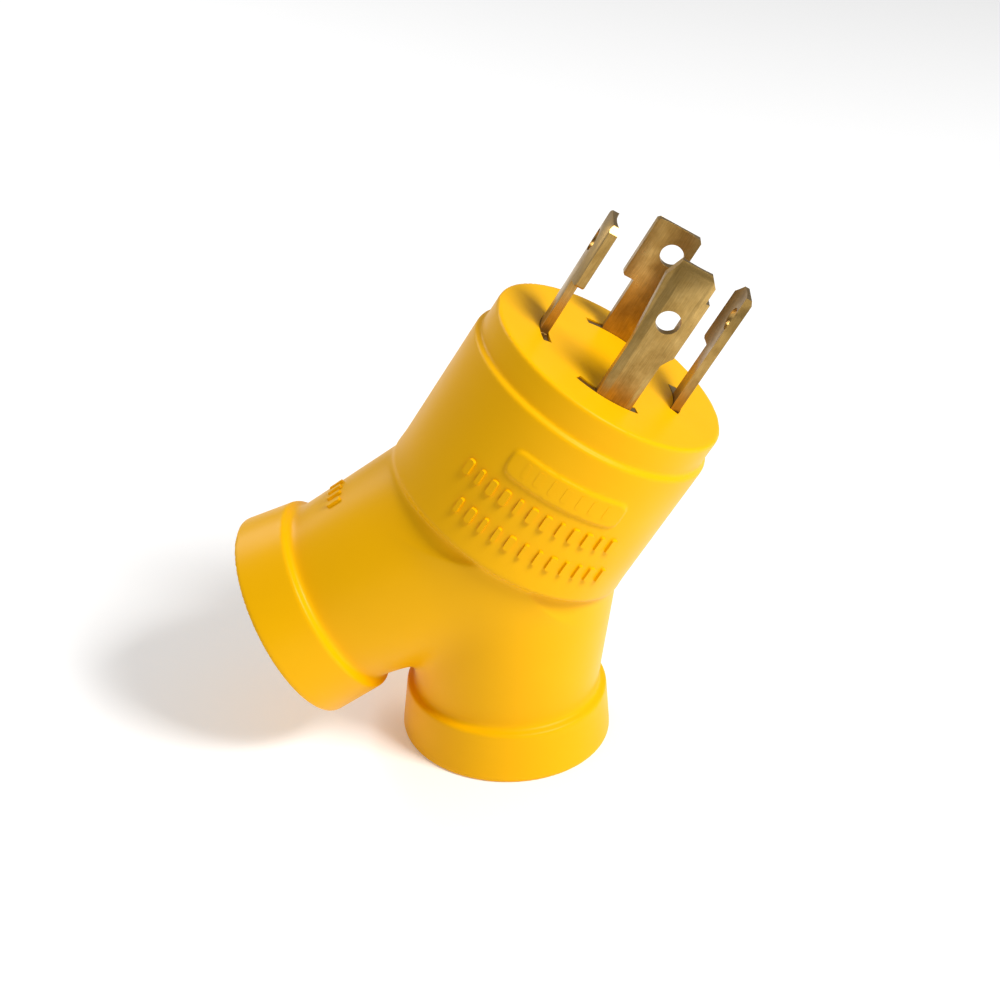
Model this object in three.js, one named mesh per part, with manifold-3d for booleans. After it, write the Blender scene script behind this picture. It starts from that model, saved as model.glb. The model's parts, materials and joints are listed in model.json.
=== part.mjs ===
// A rigid Y-shaped power adapter: one four-blade locking plug that feeds two straight-blade outlets.
// Millimetres, +Z up. The origin is the centre of outlet B's face, which the adapter stands on.
import * as THREE from "three";
import { mergeVertices } from "three/addons/utils/BufferGeometryUtils.js";
import Module from "manifold-3d";

const wasm = await Module();
wasm.setup();

// The three ends: each axis leaves the junction, and the plug's axis halves the angle between the legs.
const HALF_ANGLE = 30;
const LEG_LENGTH = 46;
const HEAD_LENGTH = 34.5;
const JUNCTION = new THREE.Vector3(0, 0, LEG_LENGTH);
const GAP = 0.3;

// Yellow jacket.
const HEAD_RADIUS = 23.4;
const RING_RADIUS = 22.5;
const RING_HEIGHT = 5.2;
const HEAD_EDGE = 0.8;
const LEG_ROOT_RADIUS = 21.4;
const LEG_NECK_RADIUS = 17;
const CAP_TOP_RADIUS = 18.6;
const CAP_RADIUS = 19.5;
const CAP_HEIGHT = 10;
const CAP_SHOULDER = 1.4;
const FACE_WALL = 4.5;
const ROUND_SEGMENTS = 36;
const SLOT_CURVE = 2;

// Plug insert: a carrier and a retainer trap the four blades. It sits in the head with a slight lean.
const INSERT_LEAN = 1;
const INSERT_RADIUS = 18.7;
const CARRIER_DEPTH = 5.7;
const RETAINER_DEPTH = 5.2;
const INSERT_SEGMENTS = 32;

// Blades: curved plates on one pitch circle, notched on one side so that they lock when turned. They are
// drawn as (across, along): across runs anticlockwise round the circle, and along runs out of the face.
const PITCH_RADIUS = 13.5;
const BLADE_THICKNESS = 1.5;
const BLADE_HOLE_RADIUS = 2.1;
const HOOK_STEP = 1.7;
const POWER_BLANK = {
  height: 23.1,
  stem: [-4.8, 1.6],
  reach: 4,
  hookStart: 10.7,
  hookSlope: 0.4,
  tipReach: 4,
  tipLean: 0,
  corners: [1.2, 0.4],
  ears: [-4.8, 4.5],
  hole: [-1.2, 17.9],
};
const GROUND_BLANK = {
  height: 27.2,
  stem: [-3.2, 3.4],
  reach: 4.75,
  hookStart: 9.5,
  hookSlope: 1.3,
  tipReach: 4,
  tipLean: 1.1,
  corners: [1.6, 1],
  ears: [-6.7, 4.5],
  hole: [0.35, 16.9],
};

// Below the stem: ears that stop the blade on the carrier, a neck through it, and shoulders that it traps.
const EAR_TOP = -0.5;
const EAR_BOTTOM = -4.3;
const NECK_HALF = 3.4;
const SHOULDER_HALF = 5;
const SHOULDER_TOP = -7.7;
const SHOULDER_BOTTOM = -9.8;
const TAIL_END = -17.6;

// Half the arc of strip that a blade is cut from, in degrees.
const BLADE_SPREAD = 32;

// The ground blade's inward flange, which keys it to its own slot.
const FLANGE_DEPTH = 4;
const FLANGE_SINK = 1.6;
const FLANGE_BELOW_TIP = 4.7;

// Crimp barrels on the tails of the blades and of the contacts.
const CORE_RADIUS = 0.9;
const BARREL_BORE = CORE_RADIUS + GAP;
const BARREL_WALL = 0.7;
const BARREL_LENGTH = 4.8;
const BARREL_CROWN = 1;
const BARREL_SEAM = 0.5;
const TWIN_SPACING = 2.1;
const BARREL_CURVE = 4;

// Wires, one from each blade to each contact that it feeds.
const INSULATION_RADIUS = 1.85;
const STRIP_LENGTH = 0.8;
const STRAIGHT_RUN = 3;
const WIRE_SIDES = 8;
const WIRE_STEPS = 14;
const CORE_ROOM = 0.4;

// Straight-blade outlet: blade slots either side of the middle, a round ground opening below them.
const CARRIER_RADIUS = 14.2;
const FRONT_CARRIER_DEPTH = 16.5;
const REAR_COVER_DEPTH = 4.6;
const FRONT_WALL = 2.4;
const SLOT_SPREAD = 6.35;
const SLOT_CENTRE = 4.4;
const SLOT_WIDTH = 2.1;
const HOT_SLOT_LENGTH = 7.2;
const NEUTRAL_SLOT_LENGTH = 8.6;
const GROUND_CENTRE = -7.5;
const GROUND_OPENING_RADIUS = 2.7;
const GROUND_OPENING_FLAT = 2;
const CHAMBER_WIDTH = 5.2;
const CHAMBER_LENGTH = 10.2;
const GROUND_CHAMBER_RADIUS = 4;

// Contacts.
const LEAF_THICKNESS = 0.6;
const LEAF_WIDTH = 7;
const CONTACT_BASE = -14.6;
const CONTACT_MOUTH = -3.2;
const TAIL_WIDTH = 4;
const TAIL_THICKNESS = 0.8;
const TAIL_HOLE_CLEARANCE = 0.35;
const GROUND_SLEEVE_BORE = 2.5;
const SLEEVE_SPLIT = 0.9;
const LEAF_WAIST = 1.3;
const LEAF_PINCH = 0.9;
const LEAF_FLARE = 1.9;
const PINCH_HEIGHT = CONTACT_MOUTH - 2.8;

const radians = THREE.MathUtils.degToRad;

const finishes = {
  jacket: { color: 0xe8ab00, roughness: 0.42, metalness: 0 },
  outletNylon: { color: 0xdc9f08, roughness: 0.5, metalness: 0 },
  insertNylon: { color: 0xe9e4d6, roughness: 0.55, metalness: 0 },
  premould: { color: 0x4a4a4c, roughness: 0.6, metalness: 0 },
  brass: { color: 0xa9853f, roughness: 0.35, metalness: 1 },
  copper: { color: 0xb87343, roughness: 0.35, metalness: 1 },
  black: { color: 0x1b1b1c, roughness: 0.5, metalness: 0 },
  red: { color: 0xa8201c, roughness: 0.5, metalness: 0 },
  white: { color: 0xe6e4de, roughness: 0.5, metalness: 0 },
  green: { color: 0x1f7a3a, roughness: 0.5, metalness: 0 },
};

// ---- Geometry helpers ----

function solid(geometry, matrix = new THREE.Matrix4()) {
  const plain = geometry.clone().applyMatrix4(matrix);
  plain.deleteAttribute("normal");
  plain.deleteAttribute("uv");
  const merged = mergeVertices(plain, 1e-4);
  const vertProperties = Float32Array.from(merged.attributes.position.array);
  const triVerts = Uint32Array.from(merged.index.array);
  return new wasm.Manifold(new wasm.Mesh({ numProp: 3, vertProperties, triVerts }));
}

function geometryOf(manifold) {
  const { vertProperties, triVerts } = manifold.getMesh();
  const geometry = new THREE.BufferGeometry();
  geometry.setAttribute("position", new THREE.BufferAttribute(vertProperties, 3));
  geometry.setIndex(new THREE.BufferAttribute(triVerts, 1));
  geometry.computeVertexNormals();
  return geometry;
}

function union(solids) {
  return solids.reduce((whole, piece) => whole.add(piece));
}

function cut(whole, cutters) {
  return cutters.reduce((rest, cutter) => rest.subtract(cutter), whole);
}

function turned(profile, segments = ROUND_SEGMENTS) {
  const points = profile.map(([radius, height]) => new THREE.Vector2(radius, height));
  return new THREE.LatheGeometry(points, segments).rotateX(Math.PI / 2);
}

function cylinder(radius, bottom, top, segments = ROUND_SEGMENTS) {
  return turned([[0, bottom], [radius, bottom], [radius, top], [0, top]], segments);
}

function prism(shape, bottom, top, curveSegments = 8) {
  const options = { depth: top - bottom, bevelEnabled: false, curveSegments };
  return new THREE.ExtrudeGeometry(shape, options).translate(0, 0, bottom);
}

function block(width, length, bottom, top, x = 0, y = 0) {
  const box = new THREE.BoxGeometry(width, length, top - bottom);
  return box.translate(x, y, (bottom + top) / 2);
}

function circle(radius, x = 0, y = 0) {
  const shape = new THREE.Shape();
  shape.absarc(x, y, radius, 0, 2 * Math.PI, false);
  return shape;
}

// An outline with round ends, whose two end centres lie at y = -half and y = +half.
function roundEnded(half, radius, x = 0, y = 0) {
  const shape = new THREE.Shape();
  shape.absarc(x, y + half, radius, 0, Math.PI, false);
  shape.absarc(x, y - half, radius, Math.PI, 2 * Math.PI, false);
  shape.closePath();
  return shape;
}

function ringSector(inner, outer, start, stop) {
  const shape = new THREE.Shape();
  shape.absarc(0, 0, outer, start, stop, false);
  shape.absarc(0, 0, inner, stop, start, true);
  shape.closePath();
  return shape;
}

function outline(points) {
  return new THREE.Shape(points.map(([x, y]) => new THREE.Vector2(x, y)));
}

// Turns an outline drawn as (across, along) into a prism that runs outwards from the plug's axis.
function radialPrism(shape, inner, outer) {
  const basis = new THREE.Matrix4().makeBasis(
    new THREE.Vector3(0, 1, 0),
    new THREE.Vector3(0, 0, 1),
    new THREE.Vector3(1, 0, 0),
  );
  return prism(shape, inner, outer).applyMatrix4(basis);
}

function addPart(parent, name, geometry, finish) {
  const part = new THREE.Mesh(geometry, new THREE.MeshStandardMaterial(finishes[finish]));
  part.name = name;
  parent.add(part);
}

// ---- The three ends: local +Z points out of the face, and the face lies at z = 0 ----

function endFrame(parent, turn, length) {
  const frame = new THREE.Group();
  const outwards = new THREE.Vector3(Math.sin(radians(turn)), 0, Math.cos(radians(turn)));
  frame.position.copy(JUNCTION).addScaledVector(outwards, length);
  frame.rotation.y = radians(turn);
  parent.add(frame);
  return frame;
}

const adapter = new THREE.Group();
const plugEnd = endFrame(adapter, HALF_ANGLE, HEAD_LENGTH);
const insertFrame = new THREE.Group();
insertFrame.rotation.y = radians(-INSERT_LEAN);
plugEnd.add(insertFrame);
const legs = {
  a: endFrame(adapter, 180 + 2 * HALF_ANGLE, LEG_LENGTH),
  b: endFrame(adapter, 180, LEG_LENGTH),
};
adapter.updateMatrixWorld(true);

// ---- Plug insert and blades ----

const CARRIER_TOP = -FACE_WALL - GAP;
const CARRIER_BOTTOM = CARRIER_TOP - CARRIER_DEPTH;
const RETAINER_TOP = CARRIER_BOTTOM - GAP;
const RETAINER_BOTTOM = RETAINER_TOP - RETAINER_DEPTH;
const BLADE_BARREL_TOP = TAIL_END + BARREL_CROWN / 2;
const BLADE_BARREL_BOTTOM = BLADE_BARREL_TOP - BARREL_CROWN - BARREL_LENGTH;

// Angles run anticlockwise as seen facing the plug. Each blade's wires lie side by side in its barrel.
const blades = [
  { name: "hot_x_blade", angle: 180, blank: POWER_BLANK, wires: 1 },
  { name: "neutral_blade", angle: 90, blank: POWER_BLANK, wires: 2 },
  { name: "ground_blade", angle: 270, blank: GROUND_BLANK, wires: 2, flange: true },
  { name: "hot_y_blade", angle: 0, blank: POWER_BLANK, wires: 1 },
];

function bladeOutline(blank) {
  const { height, stem: [left, right], reach, hookStart, hookSlope, tipReach, tipLean } = blank;
  const [hookCorner, otherCorner] = blank.corners;
  const [leftEar, rightEar] = blank.ears;
  const shape = outline([
    [-NECK_HALF, TAIL_END],
    [NECK_HALF, TAIL_END],
    [NECK_HALF, SHOULDER_BOTTOM],
    [SHOULDER_HALF, SHOULDER_BOTTOM],
    [SHOULDER_HALF, SHOULDER_TOP],
    [NECK_HALF, SHOULDER_TOP],
    [NECK_HALF, EAR_BOTTOM],
    [rightEar, EAR_BOTTOM],
    [rightEar, EAR_TOP],
    [right, EAR_TOP],
    [right, hookStart],
    [reach, hookStart + hookSlope],
    [reach, height - FLANGE_BELOW_TIP],
    [tipReach, height - FLANGE_BELOW_TIP + 0.1],
    [tipReach, height - 1.2 * hookCorner],
    [tipReach - hookCorner, height],
    [left - tipLean + otherCorner, height],
    [left - tipLean, height - 1.2 * hookCorner],
    [left, hookStart + HOOK_STEP],
    [left, EAR_TOP],
    [leftEar, EAR_TOP],
    [leftEar, EAR_BOTTOM],
    [-NECK_HALF, EAR_BOTTOM],
    [-NECK_HALF, SHOULDER_TOP],
    [-SHOULDER_HALF, SHOULDER_TOP],
    [-SHOULDER_HALF, SHOULDER_BOTTOM],
    [-NECK_HALF, SHOULDER_BOTTOM],
  ]);
  const hole = new THREE.Path();
  hole.absarc(...blank.hole, BLADE_HOLE_RADIUS, 0, 2 * Math.PI, true);
  shape.holes.push(hole);
  return shape;
}

// A barrel that opens downwards: its wires lie side by side along Y, and a seam runs down its outside.
function crimpBarrel(wires, top, x = 0, y = 0) {
  const half = wires === 2 ? TWIN_SPACING : 0;
  const mouth = top - BARREL_CROWN - BARREL_LENGTH;
  const shell = solid(prism(roundEnded(half, BARREL_BORE + BARREL_WALL, x, y), mouth, top, BARREL_CURVE));
  const crown = top - BARREL_CROWN;
  const bore = solid(prism(roundEnded(half, BARREL_BORE, x, y), mouth - 1, crown, BARREL_CURVE));
  const outside = x + BARREL_BORE + BARREL_WALL;
  const seam = solid(block(3 * BARREL_WALL, BARREL_SEAM, mouth - 1, crown, outside, y));
  return cut(shell, [bore, seam]);
}

function flangeSolid({ height, reach, hookStart }) {
  const middle = PITCH_RADIUS + BLADE_THICKNESS / 2 - FLANGE_SINK - FLANGE_DEPTH / 2;
  const edge = reach - BLADE_THICKNESS / 2;
  const top = height - FLANGE_BELOW_TIP;
  return solid(block(FLANGE_DEPTH, BLADE_THICKNESS, hookStart + HOOK_STEP, top, middle, edge));
}

function bladeSolid({ blank, wires, flange }) {
  const inner = PITCH_RADIUS - BLADE_THICKNESS / 2;
  const outer = PITCH_RADIUS + BLADE_THICKNESS / 2;
  const half = radians(BLADE_SPREAD);
  const strip = solid(prism(ringSector(inner, outer, -half, half), TAIL_END - 1, blank.height + 1, 5));
  const plate = strip.intersect(solid(radialPrism(bladeOutline(blank), inner - 4, outer + 4)));
  const pieces = [plate, crimpBarrel(wires, BLADE_BARREL_TOP, PITCH_RADIUS)];
  if (flange) pieces.push(flangeSolid(blank));
  return union(pieces);
}

function addBlades(parent) {
  for (const blade of blades) {
    const holder = new THREE.Group();
    holder.rotation.z = radians(blade.angle);
    parent.add(holder);
    addPart(holder, blade.name, geometryOf(bladeSolid(blade)), "brass");
  }
}

// A curved slot on the pitch circle, between two places across its blade, kept clear on the inner side too.
function bladeSlot({ angle }, places, bottom, top) {
  const inner = PITCH_RADIUS - BLADE_THICKNESS / 2 - GAP;
  const outer = PITCH_RADIUS + BLADE_THICKNESS / 2 + GAP;
  const ends = places.map((place) => Math.asin(place / inner));
  const sector = ringSector(inner, outer, ...ends);
  return solid(prism(sector, bottom, top, SLOT_CURVE).rotateZ(radians(angle)));
}

const slotsOfWidth = (half, bottom, top) => (
  blades.map((blade) => bladeSlot(blade, [-half, half], bottom, top))
);

function addPlugInsert(parent) {
  const carrier = cut(solid(cylinder(INSERT_RADIUS, CARRIER_BOTTOM, CARRIER_TOP, INSERT_SEGMENTS)), [
    ...slotsOfWidth(NECK_HALF + GAP, CARRIER_BOTTOM - 1, CARRIER_TOP + 1),
    ...slotsOfWidth(SHOULDER_HALF + 2 * GAP, CARRIER_BOTTOM - 1, SHOULDER_TOP + GAP),
  ]);
  const retainer = cut(solid(cylinder(INSERT_RADIUS, RETAINER_BOTTOM, RETAINER_TOP, INSERT_SEGMENTS)), [
    ...slotsOfWidth(NECK_HALF + GAP, RETAINER_BOTTOM - 1, RETAINER_TOP + 1),
  ]);
  addPart(parent, "blade_carrier", geometryOf(carrier), "insertNylon");
  addPart(parent, "blade_retainer", geometryOf(retainer), "insertNylon");
}

// ---- Outlets ----

const COVER_TOP = -FRONT_CARRIER_DEPTH - GAP;
const COVER_BOTTOM = COVER_TOP - REAR_COVER_DEPTH;
const CONTACT_BARREL_TOP = COVER_BOTTOM - 0.4;
const CONTACT_BARREL_BOTTOM = CONTACT_BARREL_TOP - BARREL_CROWN - BARREL_LENGTH;

const poles = {
  hot: { x: SLOT_SPREAD, y: SLOT_CENTRE, slot: HOT_SLOT_LENGTH },
  neutral: { x: -SLOT_SPREAD, y: SLOT_CENTRE, slot: NEUTRAL_SLOT_LENGTH },
  ground: { x: 0, y: GROUND_CENTRE },
};

// The ground opening is round on the outer side and flat towards the blade slots.
function groundOpening() {
  const shape = new THREE.Shape();
  shape.absarc(poles.ground.x, poles.ground.y, GROUND_OPENING_RADIUS, Math.PI, 2 * Math.PI, false);
  shape.lineTo(GROUND_OPENING_RADIUS, poles.ground.y + GROUND_OPENING_FLAT);
  shape.lineTo(-GROUND_OPENING_RADIUS, poles.ground.y + GROUND_OPENING_FLAT);
  shape.closePath();
  return shape;
}

function frontCarrier() {
  const body = solid(cylinder(CARRIER_RADIUS, -FRONT_CARRIER_DEPTH, 0, INSERT_SEGMENTS));
  const cutters = [solid(prism(groundOpening(), -FRONT_WALL - 1, 1, 6))];
  const groundChamber = circle(GROUND_CHAMBER_RADIUS, poles.ground.x, poles.ground.y);
  cutters.push(solid(prism(groundChamber, -FRONT_CARRIER_DEPTH - 1, -FRONT_WALL, 10)));
  for (const { x, y, slot } of [poles.hot, poles.neutral]) {
    cutters.push(solid(block(SLOT_WIDTH, slot, -FRONT_WALL - 1, 1, x, y)));
    const chamber = block(CHAMBER_WIDTH, CHAMBER_LENGTH, -FRONT_CARRIER_DEPTH - 1, -FRONT_WALL, x, y);
    cutters.push(solid(chamber));
  }
  return cut(body, cutters);
}

function rearCover() {
  const body = solid(cylinder(CARRIER_RADIUS, COVER_BOTTOM, COVER_TOP, INSERT_SEGMENTS));
  const width = TAIL_THICKNESS + 2 * TAIL_HOLE_CLEARANCE;
  const length = TAIL_WIDTH + 2 * TAIL_HOLE_CLEARANCE;
  const holes = Object.values(poles).map(({ x, y }) => (
    solid(block(width, length, COVER_BOTTOM - 1, COVER_TOP + 1, x, y))
  ));
  return cut(body, holes);
}

function contactTail(x, y) {
  const bottom = CONTACT_BARREL_TOP - BARREL_CROWN;
  const strip = solid(block(TAIL_THICKNESS, TAIL_WIDTH, bottom, CONTACT_BASE, x, y));
  return strip.add(crimpBarrel(1, CONTACT_BARREL_TOP, x, y));
}

// A strip bent into a U: its leaves lean in to a pinch, then flare out to guide the blade.
function leafContact({ x, y }) {
  const t = LEAF_THICKNESS / 2;
  const half = [[LEAF_WAIST, CONTACT_BASE], [LEAF_PINCH, PINCH_HEIGHT], [LEAF_FLARE, CONTACT_MOUTH]];
  const outer = half.map(([across, along]) => [across + t, along]);
  const inner = half.map(([across, along]) => [across - t, along]);
  inner[0][1] += LEAF_THICKNESS;
  const right = [...outer, ...inner.toReversed()];
  const left = right.map(([across, along]) => [-across, along]).toReversed();
  const flat = outline([...right, ...left]);
  const basis = new THREE.Matrix4().makeRotationX(Math.PI / 2);
  const bent = prism(flat, -LEAF_WIDTH / 2, LEAF_WIDTH / 2).applyMatrix4(basis).translate(x, y, 0);
  return solid(bent).add(contactTail(x, y));
}

// A split sleeve with a floor, which grips the round ground pin.
function sleeveContact({ x, y }) {
  const outer = GROUND_SLEEVE_BORE + LEAF_THICKNESS;
  const shell = solid(prism(circle(outer, x, y), CONTACT_BASE, CONTACT_MOUTH, 8));
  const bore = solid(prism(circle(GROUND_SLEEVE_BORE, x, y), CONTACT_BASE + LEAF_THICKNESS, 0, 8));
  const beside = x + outer / 2 + LEAF_THICKNESS;
  const split = solid(block(outer, SLEEVE_SPLIT, CONTACT_BASE + LEAF_THICKNESS, 0, beside, y));
  return cut(shell, [bore, split]).add(contactTail(x, y));
}

function addOutlet(leg, frame) {
  addPart(frame, `outlet_${leg}_front_carrier`, geometryOf(frontCarrier()), "outletNylon");
  addPart(frame, `outlet_${leg}_rear_cover`, geometryOf(rearCover()), "outletNylon");
  addPart(frame, `outlet_${leg}_hot_contact`, geometryOf(leafContact(poles.hot)), "brass");
  addPart(frame, `outlet_${leg}_neutral_contact`, geometryOf(leafContact(poles.neutral)), "brass");
  addPart(frame, `outlet_${leg}_ground_contact`, geometryOf(sleeveContact(poles.ground)), "brass");
}

// ---- Wires ----

// side is the wire's place in a twin barrel, counted anticlockwise round the pitch circle.
const wires = [
  { name: "hot_x_wire_a", blade: "hot_x_blade", side: 0, leg: "a", pole: "hot", finish: "black" },
  { name: "hot_y_wire_b", blade: "hot_y_blade", side: 0, leg: "b", pole: "hot", finish: "red" },
  { name: "neutral_wire_a", blade: "neutral_blade", side: 1, leg: "a", pole: "neutral", finish: "white" },
  { name: "neutral_wire_b", blade: "neutral_blade", side: -1, leg: "b", pole: "neutral", finish: "white" },
  { name: "ground_wire_a", blade: "ground_blade", side: -1, leg: "a", pole: "ground", finish: "green" },
  { name: "ground_wire_b", blade: "ground_blade", side: 1, leg: "b", pole: "ground", finish: "green" },
];

// The centre line, given as places out of the blade's barrel, through the body and into the contact's.
function wireCurve({ blade, side, leg, pole }, trim) {
  const turn = radians(blades.find(({ name }) => name === blade).angle);
  const across = side * TWIN_SPACING;
  const x = PITCH_RADIUS * Math.cos(turn) - across * Math.sin(turn);
  const y = PITCH_RADIUS * Math.sin(turn) + across * Math.cos(turn);
  const plugPlaces = [trim, STRAIGHT_RUN / 2, STRAIGHT_RUN].map((depth) => (
    insertFrame.localToWorld(new THREE.Vector3(x, y, BLADE_BARREL_BOTTOM - depth))
  ));
  const end = poles[pole];
  const legPlaces = [STRAIGHT_RUN, STRAIGHT_RUN / 2, trim].map((depth) => (
    legs[leg].localToWorld(new THREE.Vector3(end.x, end.y, CONTACT_BARREL_BOTTOM - depth))
  ));
  return new THREE.CatmullRomCurve3([...plugPlaces, ...legPlaces], false, "centripetal");
}

function tube(curve, radius, bore = 0, steps = WIRE_STEPS) {
  const section = circle(radius);
  if (bore) {
    const hole = new THREE.Path();
    hole.absarc(0, 0, bore, 0, 2 * Math.PI, true);
    section.holes.push(hole);
  }
  return new THREE.ExtrudeGeometry(section, { steps, extrudePath: curve, curveSegments: WIRE_SIDES / 2 });
}

function addWires(parent) {
  for (const wire of wires) {
    const insulation = tube(wireCurve(wire, STRIP_LENGTH), INSULATION_RADIUS, CORE_RADIUS + CORE_ROOM);
    const core = tube(wireCurve(wire, -BARREL_LENGTH + GAP), CORE_RADIUS, 0, WIRE_STEPS + 4);
    addPart(parent, wire.name, insulation, wire.finish);
    addPart(parent, `${wire.name}_core`, core, "copper");
  }
}

// ---- Premould and jacket ----

// Everything here is made in the adapter's own frame, so that the ends can be cut from one solid.
const atPlug = (geometry) => solid(geometry, plugEnd.matrixWorld);
const atInsert = (geometry) => solid(geometry, insertFrame.matrixWorld);
const atLeg = (leg, geometry) => solid(geometry, legs[leg].matrixWorld);
const inBody = (slots) => slots.map((slot) => slot.transform(insertFrame.matrixWorld.elements));

const PREMOULD_LEG_RADIUS = 13;
const PREMOULD_ROOT_RADIUS = 15.6;
const PREMOULD_HEAD_START = 4.2 - HEAD_LENGTH;
const LEG_PAST_JUNCTION = 4;

function premouldBody(grow) {
  const legStart = -LEG_LENGTH - LEG_PAST_JUNCTION - grow;
  const legEnd = COVER_BOTTOM - 2 * GAP + grow;
  const headEnds = [PREMOULD_HEAD_START - grow, RETAINER_BOTTOM - GAP + grow];
  const head = cylinder(INSERT_RADIUS + grow, ...headEnds, INSERT_SEGMENTS);
  const leg = turned([
    [0, legStart],
    [PREMOULD_ROOT_RADIUS + grow, legStart],
    [PREMOULD_LEG_RADIUS + grow, legEnd],
    [0, legEnd],
  ], INSERT_SEGMENTS);
  return union([atInsert(head), atLeg("a", leg), atLeg("b", leg)]);
}

function premouldCutters() {
  const barrelReach = BARREL_BORE + BARREL_WALL + GAP;
  const cutters = inBody(slotsOfWidth(NECK_HALF + GAP, TAIL_END - GAP, RETAINER_BOTTOM + 1));
  for (const { angle, wires: count } of blades) {
    const half = count === 2 ? TWIN_SPACING : 0;
    const pocket = roundEnded(half, barrelReach, PITCH_RADIUS);
    const bottom = BLADE_BARREL_BOTTOM - STRIP_LENGTH - GAP;
    const geometry = prism(pocket, bottom, RETAINER_BOTTOM + 1, BARREL_CURVE);
    cutters.push(atInsert(geometry.rotateZ(radians(angle))));
  }
  for (const leg of ["a", "b"]) {
    for (const { x, y } of Object.values(poles)) {
      const bottom = CONTACT_BARREL_BOTTOM - STRIP_LENGTH - GAP;
      const pocket = circle(barrelReach, x, y);
      cutters.push(atLeg(leg, prism(pocket, bottom, COVER_BOTTOM + 1, BARREL_CURVE)));
    }
  }
  for (const wire of wires) {
    cutters.push(solid(tube(wireCurve(wire, STRIP_LENGTH), INSULATION_RADIUS + GAP)));
  }
  return cutters;
}

function addPremould(parent) {
  addPart(parent, "inner_premould", geometryOf(cut(premouldBody(0), premouldCutters())), "premould");
}

function jacketOutside() {
  const ringFoot = -RING_HEIGHT;
  const head = turned([
    [0, -HEAD_LENGTH],
    [HEAD_RADIUS - HEAD_EDGE, -HEAD_LENGTH],
    [HEAD_RADIUS, -HEAD_LENGTH + HEAD_EDGE],
    [HEAD_RADIUS, ringFoot - 2 * HEAD_EDGE],
    [RING_RADIUS, ringFoot],
    [RING_RADIUS, -HEAD_EDGE],
    [RING_RADIUS - HEAD_EDGE, 0],
    [0, 0],
  ]);
  const leg = turned([
    [0, -LEG_LENGTH],
    [LEG_ROOT_RADIUS, -LEG_LENGTH],
    [LEG_NECK_RADIUS, -CAP_HEIGHT - CAP_SHOULDER],
    [CAP_TOP_RADIUS, -CAP_HEIGHT],
    [CAP_RADIUS, -HEAD_EDGE],
    [CAP_RADIUS - HEAD_EDGE, 0],
    [0, 0],
  ]);
  return union([atPlug(head), atLeg("a", leg), atLeg("b", leg)]);
}

function addJacket(parent) {
  const insertRoom = cylinder(INSERT_RADIUS + GAP, RETAINER_BOTTOM - 2, -FACE_WALL, INSERT_SEGMENTS);
  const outletRoom = cylinder(CARRIER_RADIUS + GAP, COVER_BOTTOM - GAP, 1, INSERT_SEGMENTS);
  const slots = blades.map((blade) => {
    const [left, right] = blade.blank.ears;
    return bladeSlot(blade, [left - GAP, right + GAP], -FACE_WALL - 1, 1);
  });
  const rooms = [atInsert(insertRoom), atLeg("a", outletRoom), atLeg("b", outletRoom)];
  const body = cut(jacketOutside(), [premouldBody(GAP), ...rooms, ...inBody(slots)]);
  addPart(parent, "overmould_jacket", geometryOf(body), "jacket");
}

addJacket(adapter);
addPremould(adapter);
addWires(adapter);
addPlugInsert(insertFrame);
addBlades(insertFrame);
addOutlet("a", legs.a);
addOutlet("b", legs.b);

export default adapter;
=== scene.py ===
# %% [markdown]
# # A Y-shaped power adapter
# A four-blade locking plug is moulded into one head, and two straight-blade outlets sit in the ends of two legs.
# The jacket is one soft yellow moulding, so its shape is written as a rule: a distance to rounded, tapered
# sections, blended where they meet. The metal is stamped from strip, so it is cut from curved plates.

# %% Load the frame
import json
import math

import bmesh
import bpy
from mathutils import Matrix, Vector


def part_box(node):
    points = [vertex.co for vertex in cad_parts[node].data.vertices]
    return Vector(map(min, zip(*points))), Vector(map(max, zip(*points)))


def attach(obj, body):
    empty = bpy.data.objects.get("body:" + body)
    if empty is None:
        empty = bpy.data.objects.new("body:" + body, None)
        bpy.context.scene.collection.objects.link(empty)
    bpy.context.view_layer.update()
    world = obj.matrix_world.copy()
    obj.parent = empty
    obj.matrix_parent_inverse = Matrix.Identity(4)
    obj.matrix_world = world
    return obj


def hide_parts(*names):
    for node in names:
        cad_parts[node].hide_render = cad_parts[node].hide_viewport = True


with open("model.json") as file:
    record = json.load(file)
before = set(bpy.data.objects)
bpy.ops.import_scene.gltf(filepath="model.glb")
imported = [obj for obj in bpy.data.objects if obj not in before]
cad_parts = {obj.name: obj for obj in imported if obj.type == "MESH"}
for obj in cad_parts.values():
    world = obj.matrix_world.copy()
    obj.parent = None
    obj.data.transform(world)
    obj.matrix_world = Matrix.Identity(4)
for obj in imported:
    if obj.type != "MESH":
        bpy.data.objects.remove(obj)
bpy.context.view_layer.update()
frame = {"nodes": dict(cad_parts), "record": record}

MM = 0.001
mounts = {mount["name"]: mount for mount in frame["record"]["mounts"]}
print("nodes", len(frame["nodes"]), "mounts", sorted(mounts))

# %% [markdown]
# ## The camera
# A close view from a little above the top of the legs, with a short telephoto lens. Its turn, tilt and distance
# are what give the plug's face and the two caps their widths as ovals, so they are set before anything is made.

# %% Camera
CAMERA_PLACE = (5.6, -312.4, 229.8)
CAMERA_TURN = (59.86, -0.47, 1.60)
CAMERA_LENS = 72.7

camera = bpy.data.objects.new("camera", bpy.data.cameras.new("camera"))
camera.location = [place * MM for place in CAMERA_PLACE]
camera.rotation_euler = [math.radians(turn) for turn in CAMERA_TURN]
camera.data.lens = CAMERA_LENS
camera.data.clip_start = 0.01
bpy.context.scene.collection.objects.link(camera)
bpy.context.scene.camera = camera
print("camera at", tuple(round(value, 4) for value in camera.location), "lens", camera.data.lens)

# %% [markdown]
# ## Directions and sizes
# The frame's three mounts are the three faces. The legs and the plug share one junction, a leg's length behind
# each outlet's face, and every piece below is placed from it.

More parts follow.
